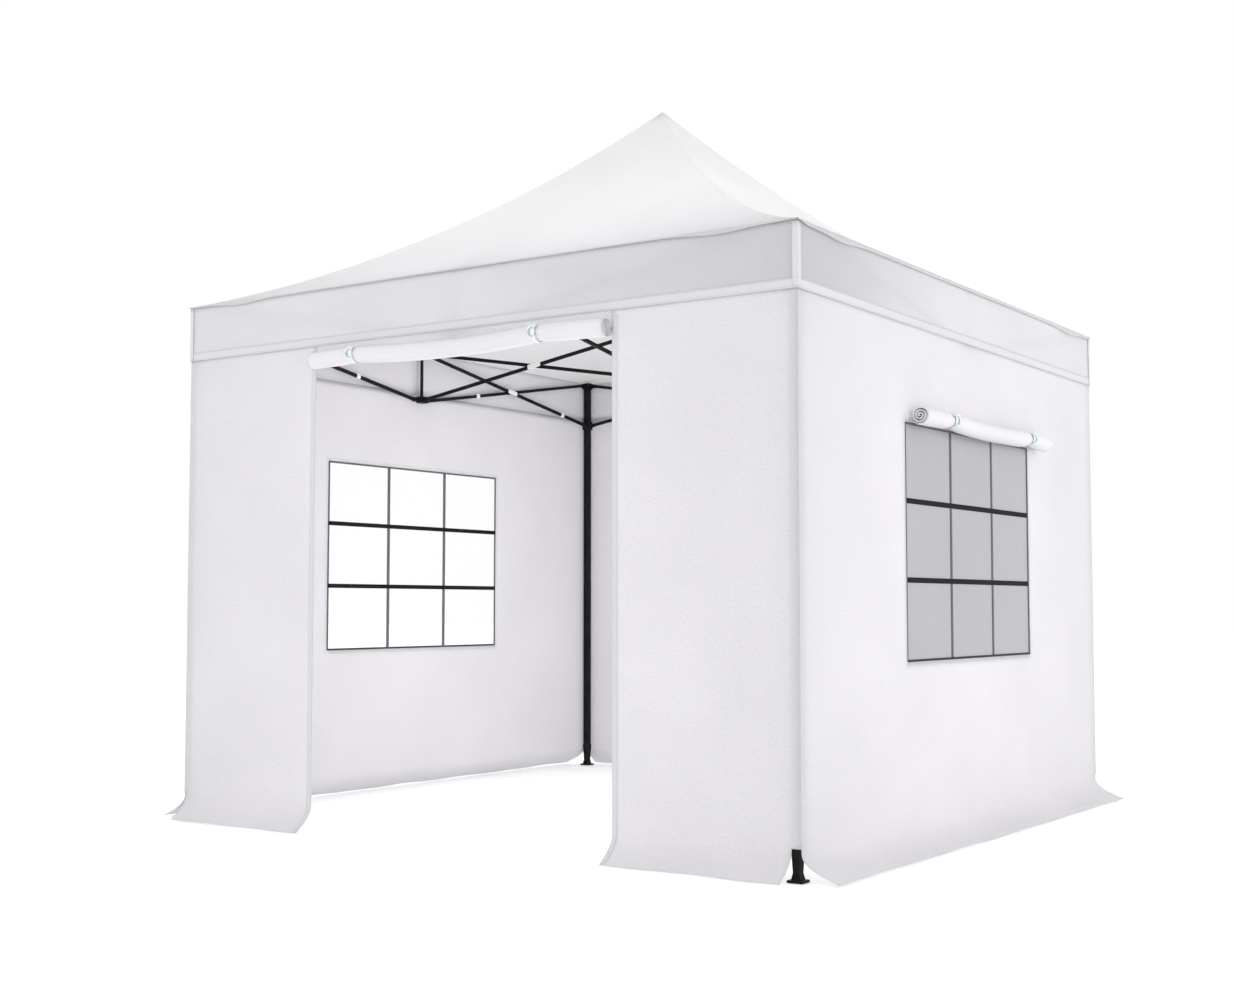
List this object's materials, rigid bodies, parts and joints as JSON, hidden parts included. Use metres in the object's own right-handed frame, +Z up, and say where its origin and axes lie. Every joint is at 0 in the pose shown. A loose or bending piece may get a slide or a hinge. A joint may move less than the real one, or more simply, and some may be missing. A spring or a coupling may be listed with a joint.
{
  "type": "pop up canopy",
  "caption": "Square folding shelter on four legs: a scissor frame that opens under a peaked fabric roof with a valance, four walls, a rolled up door and clear windows.",
  "frame": {"origin": "on the ground at the middle of the canopy's footprint", "axes": "+Z up; the doorway wall faces -Y, and the wall with the rolled window cover faces +X"},
  "size_m": [3.274, 3.17, 3.2183],
  "materials": {
    "frame_black": "satin",
    "connector_black": "matt",
    "pole_grey": "satin",
    "roof_fabric": "woven",
    "wall_fabric": "woven",
    "clear_film": "glossy",
    "tie_webbing": "webbing"
  },
  "bodies": {
    "top_hub": {"centre_top_hub": "connector_black", "roof_cover": "roof_fabric", "valance": "roof_fabric"},
    "bottom_hub": {"centre_bottom_hub": "connector_black"},
    "peak": {"peak_pole": "pole_grey", "peak_cap": "connector_black"},
    "front_inner_falling": {"front_inner_bar_falling": "frame_black"},
    "front_inner_rising": {"front_inner_bar_rising": "frame_black"},
    "front_top": {"front_top_connector": "connector_black", "front_wall": "wall_fabric", "rolled_door": "wall_fabric", "door_ties": "tie_webbing"},
    "front_bottom": {"front_bottom_connector": "connector_black"},
    "front_near_falling": {"front_near_bar_falling": "frame_black"},
    "front_near_rising": {"front_near_bar_rising": "frame_black"},
    "front_far_falling": {"front_far_bar_falling": "frame_black"},
    "front_far_rising": {"front_far_bar_rising": "frame_black"},
    "right_inner_falling": {"right_inner_bar_falling": "frame_black"},
    "right_inner_rising": {"right_inner_bar_rising": "frame_black"},
    "right_top": {"right_top_connector": "connector_black", "right_wall": "wall_fabric", "right_window": "clear_film", "rolled_window_cover": "wall_fabric", "window_ties": "tie_webbing"},
    "right_bottom": {"right_bottom_connector": "connector_black"},
    "right_near_falling": {"right_near_bar_falling": "frame_black"},
    "right_near_rising": {"right_near_bar_rising": "frame_black"},
    "right_far_falling": {"right_far_bar_falling": "frame_black"},
    "right_far_rising": {"right_far_bar_rising": "frame_black"},
    "back_inner_falling": {"back_inner_bar_falling": "frame_black"},
    "back_inner_rising": {"back_inner_bar_rising": "frame_black"},
    "back_top": {"back_top_connector": "connector_black", "back_wall": "wall_fabric"},
    "back_bottom": {"back_bottom_connector": "connector_black"},
    "back_near_falling": {"back_near_bar_falling": "frame_black"},
    "back_near_rising": {"back_near_bar_rising": "frame_black"},
    "back_far_falling": {"back_far_bar_falling": "frame_black"},
    "back_far_rising": {"back_far_bar_rising": "frame_black"},
    "left_inner_falling": {"left_inner_bar_falling": "frame_black"},
    "left_inner_rising": {"left_inner_bar_rising": "frame_black"},
    "left_top": {"left_top_connector": "connector_black", "left_wall": "wall_fabric", "left_window": "clear_film"},
    "left_bottom": {"left_bottom_connector": "connector_black"},
    "left_near_falling": {"left_near_bar_falling": "frame_black"},
    "left_near_rising": {"left_near_bar_rising": "frame_black"},
    "left_far_falling": {"left_far_bar_falling": "frame_black"},
    "left_far_rising": {"left_far_bar_rising": "frame_black"},
    "front_right_leg": {"front_right_leg": "frame_black"},
    "front_right_slider": {"front_right_slider": "connector_black"},
    "front_right_lower_leg": {"front_right_lower_leg": "frame_black"},
    "back_right_leg": {"back_right_leg": "frame_black"},
    "back_right_slider": {"back_right_slider": "connector_black"},
    "back_right_lower_leg": {"back_right_lower_leg": "frame_black"},
    "back_left_leg": {"back_left_leg": "frame_black"},
    "back_left_slider": {"back_left_slider": "connector_black"},
    "back_left_lower_leg": {"back_left_lower_leg": "frame_black"},
    "front_left_leg": {"front_left_leg": "frame_black"},
    "front_left_slider": {"front_left_slider": "connector_black"},
    "front_left_lower_leg": {"front_left_lower_leg": "frame_black"}
  },
  "joints": [
    {"name": "canopy_fold", "type": "hinge", "parent": "top_hub", "child": "front_inner_falling", "pos_m": [0.009, -0.05, 2.2], "axis": [1, 0, 0], "range_deg": [0, 78.52], "deforming": ["roof_cover", "valance", "front_wall", "right_wall", "back_wall", "left_wall", "rolled_door", "door_ties", "right_window", "left_window", "rolled_window_cover", "window_ties"]},
    {"name": "front_inner_cross", "type": "hinge", "parent": "front_inner_falling", "child": "front_inner_rising", "pos_m": [0, -0.7375, 2.084], "axis": [1, 0, 0], "range_deg": [-157.04, 0]},
    {"name": "front_bottom_pivot", "type": "hinge", "parent": "front_inner_falling", "child": "front_bottom", "pos_m": [0.009, -1.425, 1.968], "axis": [1, 0, 0], "range_deg": [-78.52, 0]},
    {"name": "front_top_pivot", "type": "hinge", "parent": "front_inner_rising", "child": "front_top", "pos_m": [-0.009, -1.425, 2.2], "axis": [1, 0, 0], "range_deg": [0, 78.52]},
    {"name": "bottom_hub_pivot", "type": "hinge", "parent": "front_inner_rising", "child": "bottom_hub", "pos_m": [-0.009, -0.05, 1.968], "axis": [1, 0, 0], "range_deg": [0, 78.52]},
    {"name": "peak_slide", "type": "slide", "parent": "bottom_hub", "child": "peak", "axis": [0, 0, 1], "range_m": [0, 0.26]},
    {"name": "front_near_top_pivot", "type": "hinge", "parent": "front_top", "child": "front_near_falling", "pos_m": [-0.05, -1.461, 2.2], "axis": [0, -1, 0], "range_deg": [0, 78.52]},
    {"name": "front_near_cross", "type": "hinge", "parent": "front_near_falling", "child": "front_near_rising", "pos_m": [-0.7375, -1.47, 2.084], "axis": [0, -1, 0], "range_deg": [-157.04, 0]},
    {"name": "front_far_top_pivot", "type": "hinge", "parent": "front_top", "child": "front_far_falling", "pos_m": [0.05, -1.461, 2.2], "axis": [0, -1, 0], "range_deg": [-78.52, 0]},
    {"name": "front_far_cross", "type": "hinge", "parent": "front_far_falling", "child": "front_far_rising", "pos_m": [0.7375, -1.47, 2.084], "axis": [0, -1, 0], "range_deg": [0, 157.04]},
    {"name": "right_hub_pivot", "type": "hinge", "parent": "top_hub", "child": "right_inner_falling", "pos_m": [0.05, 0.009, 2.2], "axis": [0, 1, 0], "range_deg": [0, 78.52]},
    {"name": "right_inner_cross", "type": "hinge", "parent": "right_inner_falling", "child": "right_inner_rising", "pos_m": [0.7375, 0, 2.084], "axis": [0, 1, 0], "range_deg": [-157.04, 0]},
    {"name": "right_bottom_pivot", "type": "hinge", "parent": "right_inner_falling", "child": "right_bottom", "pos_m": [1.425, 0.009, 1.968], "axis": [0, 1, 0], "range_deg": [-78.52, 0]},
    {"name": "right_top_pivot", "type": "hinge", "parent": "right_inner_rising", "child": "right_top", "pos_m": [1.425, -0.009, 2.2], "axis": [0, 1, 0], "range_deg": [0, 78.52]},
    {"name": "right_near_top_pivot", "type": "hinge", "parent": "right_top", "child": "right_near_falling", "pos_m": [1.461, -0.05, 2.2], "axis": [1, 0, 0], "range_deg": [0, 78.52]},
    {"name": "right_near_cross", "type": "hinge", "parent": "right_near_falling", "child": "right_near_rising", "pos_m": [1.47, -0.7375, 2.084], "axis": [1, 0, 0], "range_deg": [-157.04, 0]},
    {"name": "right_far_top_pivot", "type": "hinge", "parent": "right_top", "child": "right_far_falling", "pos_m": [1.461, 0.05, 2.2], "axis": [1, 0, 0], "range_deg": [-78.52, 0]},
    {"name": "right_far_cross", "type": "hinge", "parent": "right_far_falling", "child": "right_far_rising", "pos_m": [1.47, 0.7375, 2.084], "axis": [1, 0, 0], "range_deg": [0, 157.04]},
    {"name": "back_hub_pivot", "type": "hinge", "parent": "top_hub", "child": "back_inner_falling", "pos_m": [-0.009, 0.05, 2.2], "axis": [-1, 0, 0], "range_deg": [0, 78.52]},
    {"name": "back_inner_cross", "type": "hinge", "parent": "back_inner_falling", "child": "back_inner_rising", "pos_m": [0, 0.7375, 2.084], "axis": [-1, 0, 0], "range_deg": [-157.04, 0]},
    {"name": "back_bottom_pivot", "type": "hinge", "parent": "back_inner_falling", "child": "back_bottom", "pos_m": [-0.009, 1.425, 1.968], "axis": [-1, 0, 0], "range_deg": [-78.52, 0]},
    {"name": "back_top_pivot", "type": "hinge", "parent": "back_inner_rising", "child": "back_top", "pos_m": [0.009, 1.425, 2.2], "axis": [-1, 0, 0], "range_deg": [0, 78.52]},
    {"name": "back_near_top_pivot", "type": "hinge", "parent": "back_top", "child": "back_near_falling", "pos_m": [0.05, 1.461, 2.2], "axis": [0, 1, 0], "range_deg": [0, 78.52]},
    {"name": "back_near_cross", "type": "hinge", "parent": "back_near_falling", "child": "back_near_rising", "pos_m": [0.7375, 1.47, 2.084], "axis": [0, 1, 0], "range_deg": [-157.04, 0]},
    {"name": "back_far_top_pivot", "type": "hinge", "parent": "back_top", "child": "back_far_falling", "pos_m": [-0.05, 1.461, 2.2], "axis": [0, 1, 0], "range_deg": [-78.52, 0]},
    {"name": "back_far_cross", "type": "hinge", "parent": "back_far_falling", "child": "back_far_rising", "pos_m": [-0.7375, 1.47, 2.084], "axis": [0, 1, 0], "range_deg": [0, 157.04]},
    {"name": "left_hub_pivot", "type": "hinge", "parent": "top_hub", "child": "left_inner_falling", "pos_m": [-0.05, -0.009, 2.2], "axis": [0, -1, 0], "range_deg": [0, 78.52]},
    {"name": "left_inner_cross", "type": "hinge", "parent": "left_inner_falling", "child": "left_inner_rising", "pos_m": [-0.7375, 0, 2.084], "axis": [0, -1, 0], "range_deg": [-157.04, 0]},
    {"name": "left_bottom_pivot", "type": "hinge", "parent": "left_inner_falling", "child": "left_bottom", "pos_m": [-1.425, -0.009, 1.968], "axis": [0, -1, 0], "range_deg": [-78.52, 0]},
    {"name": "left_top_pivot", "type": "hinge", "parent": "left_inner_rising", "child": "left_top", "pos_m": [-1.425, 0.009, 2.2], "axis": [0, -1, 0], "range_deg": [0, 78.52]},
    {"name": "left_near_top_pivot", "type": "hinge", "parent": "left_top", "child": "left_near_falling", "pos_m": [-1.461, 0.05, 2.2], "axis": [-1, 0, 0], "range_deg": [0, 78.52]},
    {"name": "left_near_cross", "type": "hinge", "parent": "left_near_falling", "child": "left_near_rising", "pos_m": [-1.47, 0.7375, 2.084], "axis": [-1, 0, 0], "range_deg": [-157.04, 0]},
    {"name": "left_far_top_pivot", "type": "hinge", "parent": "left_top", "child": "left_far_falling", "pos_m": [-1.461, -0.05, 2.2], "axis": [-1, 0, 0], "range_deg": [-78.52, 0]},
    {"name": "left_far_cross", "type": "hinge", "parent": "left_far_falling", "child": "left_far_rising", "pos_m": [-1.47, -0.7375, 2.084], "axis": [-1, 0, 0], "range_deg": [0, 157.04]},
    {"name": "front_right_leg_pivot", "type": "hinge", "parent": "front_far_rising", "child": "front_right_leg", "pos_m": [1.425, -1.479, 2.2], "axis": [0, -1, 0], "range_deg": [-78.52, 0]},
    {"name": "front_right_slider_pivot", "type": "hinge", "parent": "front_far_falling", "child": "front_right_slider", "pos_m": [1.425, -1.461, 1.968], "axis": [0, -1, 0], "range_deg": [0, 78.52]},
    {"name": "front_right_leg_extension", "type": "slide", "parent": "front_right_leg", "child": "front_right_lower_leg", "axis": [0, 0, -1], "range_m": [0, 0.3]},
    {"name": "back_right_leg_pivot", "type": "hinge", "parent": "right_far_rising", "child": "back_right_leg", "pos_m": [1.479, 1.425, 2.2], "axis": [1, 0, 0], "range_deg": [-78.52, 0]},
    {"name": "back_right_slider_pivot", "type": "hinge", "parent": "right_far_falling", "child": "back_right_slider", "pos_m": [1.461, 1.425, 1.968], "axis": [1, 0, 0], "range_deg": [0, 78.52]},
    {"name": "back_right_leg_extension", "type": "slide", "parent": "back_right_leg", "child": "back_right_lower_leg", "axis": [0, 0, -1], "range_m": [0, 0.3]},
    {"name": "back_left_leg_pivot", "type": "hinge", "parent": "back_far_rising", "child": "back_left_leg", "pos_m": [-1.425, 1.479, 2.2], "axis": [0, 1, 0], "range_deg": [-78.52, 0]},
    {"name": "back_left_slider_pivot", "type": "hinge", "parent": "back_far_falling", "child": "back_left_slider", "pos_m": [-1.425, 1.461, 1.968], "axis": [0, 1, 0], "range_deg": [0, 78.52]},
    {"name": "back_left_leg_extension", "type": "slide", "parent": "back_left_leg", "child": "back_left_lower_leg", "axis": [0, 0, -1], "range_m": [0, 0.3]},
    {"name": "front_left_leg_pivot", "type": "hinge", "parent": "left_far_rising", "child": "front_left_leg", "pos_m": [-1.479, -1.425, 2.2], "axis": [-1, 0, 0], "range_deg": [-78.52, 0]},
    {"name": "front_left_slider_pivot", "type": "hinge", "parent": "left_far_falling", "child": "front_left_slider", "pos_m": [-1.461, -1.425, 1.968], "axis": [-1, 0, 0], "range_deg": [0, 78.52]},
    {"name": "front_left_leg_extension", "type": "slide", "parent": "front_left_leg", "child": "front_left_lower_leg", "axis": [0, 0, -1], "range_m": [0, 0.3]}
  ],
  "couplings": [
    {"joint": "front_inner_cross", "follows": "canopy_fold", "ratio": -2},
    {"joint": "front_bottom_pivot", "follows": "canopy_fold", "ratio": -1},
    {"joint": "front_top_pivot", "follows": "canopy_fold", "ratio": 1},
    {"joint": "bottom_hub_pivot", "follows": "canopy_fold", "ratio": 1},
    {"joint": "peak_slide", "follows": "canopy_fold", "m_per_rad": 0.18965},
    {"joint": "front_near_top_pivot", "follows": "canopy_fold", "ratio": 1},
    {"joint": "front_near_cross", "follows": "canopy_fold", "ratio": -2},
    {"joint": "front_far_top_pivot", "follows": "canopy_fold", "ratio": -1},
    {"joint": "front_far_cross", "follows": "canopy_fold", "ratio": 2},
    {"joint": "right_hub_pivot", "follows": "canopy_fold", "ratio": 1},
    {"joint": "right_inner_cross", "follows": "canopy_fold", "ratio": -2},
    {"joint": "right_bottom_pivot", "follows": "canopy_fold", "ratio": -1},
    {"joint": "right_top_pivot", "follows": "canopy_fold", "ratio": 1},
    {"joint": "right_near_top_pivot", "follows": "canopy_fold", "ratio": 1},
    {"joint": "right_near_cross", "follows": "canopy_fold", "ratio": -2},
    {"joint": "right_far_top_pivot", "follows": "canopy_fold", "ratio": -1},
    {"joint": "right_far_cross", "follows": "canopy_fold", "ratio": 2},
    {"joint": "back_hub_pivot", "follows": "canopy_fold", "ratio": 1},
    {"joint": "back_inner_cross", "follows": "canopy_fold", "ratio": -2},
    {"joint": "back_bottom_pivot", "follows": "canopy_fold", "ratio": -1},
    {"joint": "back_top_pivot", "follows": "canopy_fold", "ratio": 1},
    {"joint": "back_near_top_pivot", "follows": "canopy_fold", "ratio": 1},
    {"joint": "back_near_cross", "follows": "canopy_fold", "ratio": -2},
    {"joint": "back_far_top_pivot", "follows": "canopy_fold", "ratio": -1},
    {"joint": "back_far_cross", "follows": "canopy_fold", "ratio": 2},
    {"joint": "left_hub_pivot", "follows": "canopy_fold", "ratio": 1},
    {"joint": "left_inner_cross", "follows": "canopy_fold", "ratio": -2},
    {"joint": "left_bottom_pivot", "follows": "canopy_fold", "ratio": -1},
    {"joint": "left_top_pivot", "follows": "canopy_fold", "ratio": 1},
    {"joint": "left_near_top_pivot", "follows": "canopy_fold", "ratio": 1},
    {"joint": "left_near_cross", "follows": "canopy_fold", "ratio": -2},
    {"joint": "left_far_top_pivot", "follows": "canopy_fold", "ratio": -1},
    {"joint": "left_far_cross", "follows": "canopy_fold", "ratio": 2},
    {"joint": "front_right_leg_pivot", "follows": "canopy_fold", "ratio": -1},
    {"joint": "front_right_slider_pivot", "follows": "canopy_fold", "ratio": 1},
    {"joint": "back_right_leg_pivot", "follows": "canopy_fold", "ratio": -1},
    {"joint": "back_right_slider_pivot", "follows": "canopy_fold", "ratio": 1},
    {"joint": "back_left_leg_pivot", "follows": "canopy_fold", "ratio": -1},
    {"joint": "back_left_slider_pivot", "follows": "canopy_fold", "ratio": 1},
    {"joint": "front_left_leg_pivot", "follows": "canopy_fold", "ratio": -1},
    {"joint": "front_left_slider_pivot", "follows": "canopy_fold", "ratio": 1}
  ]
}
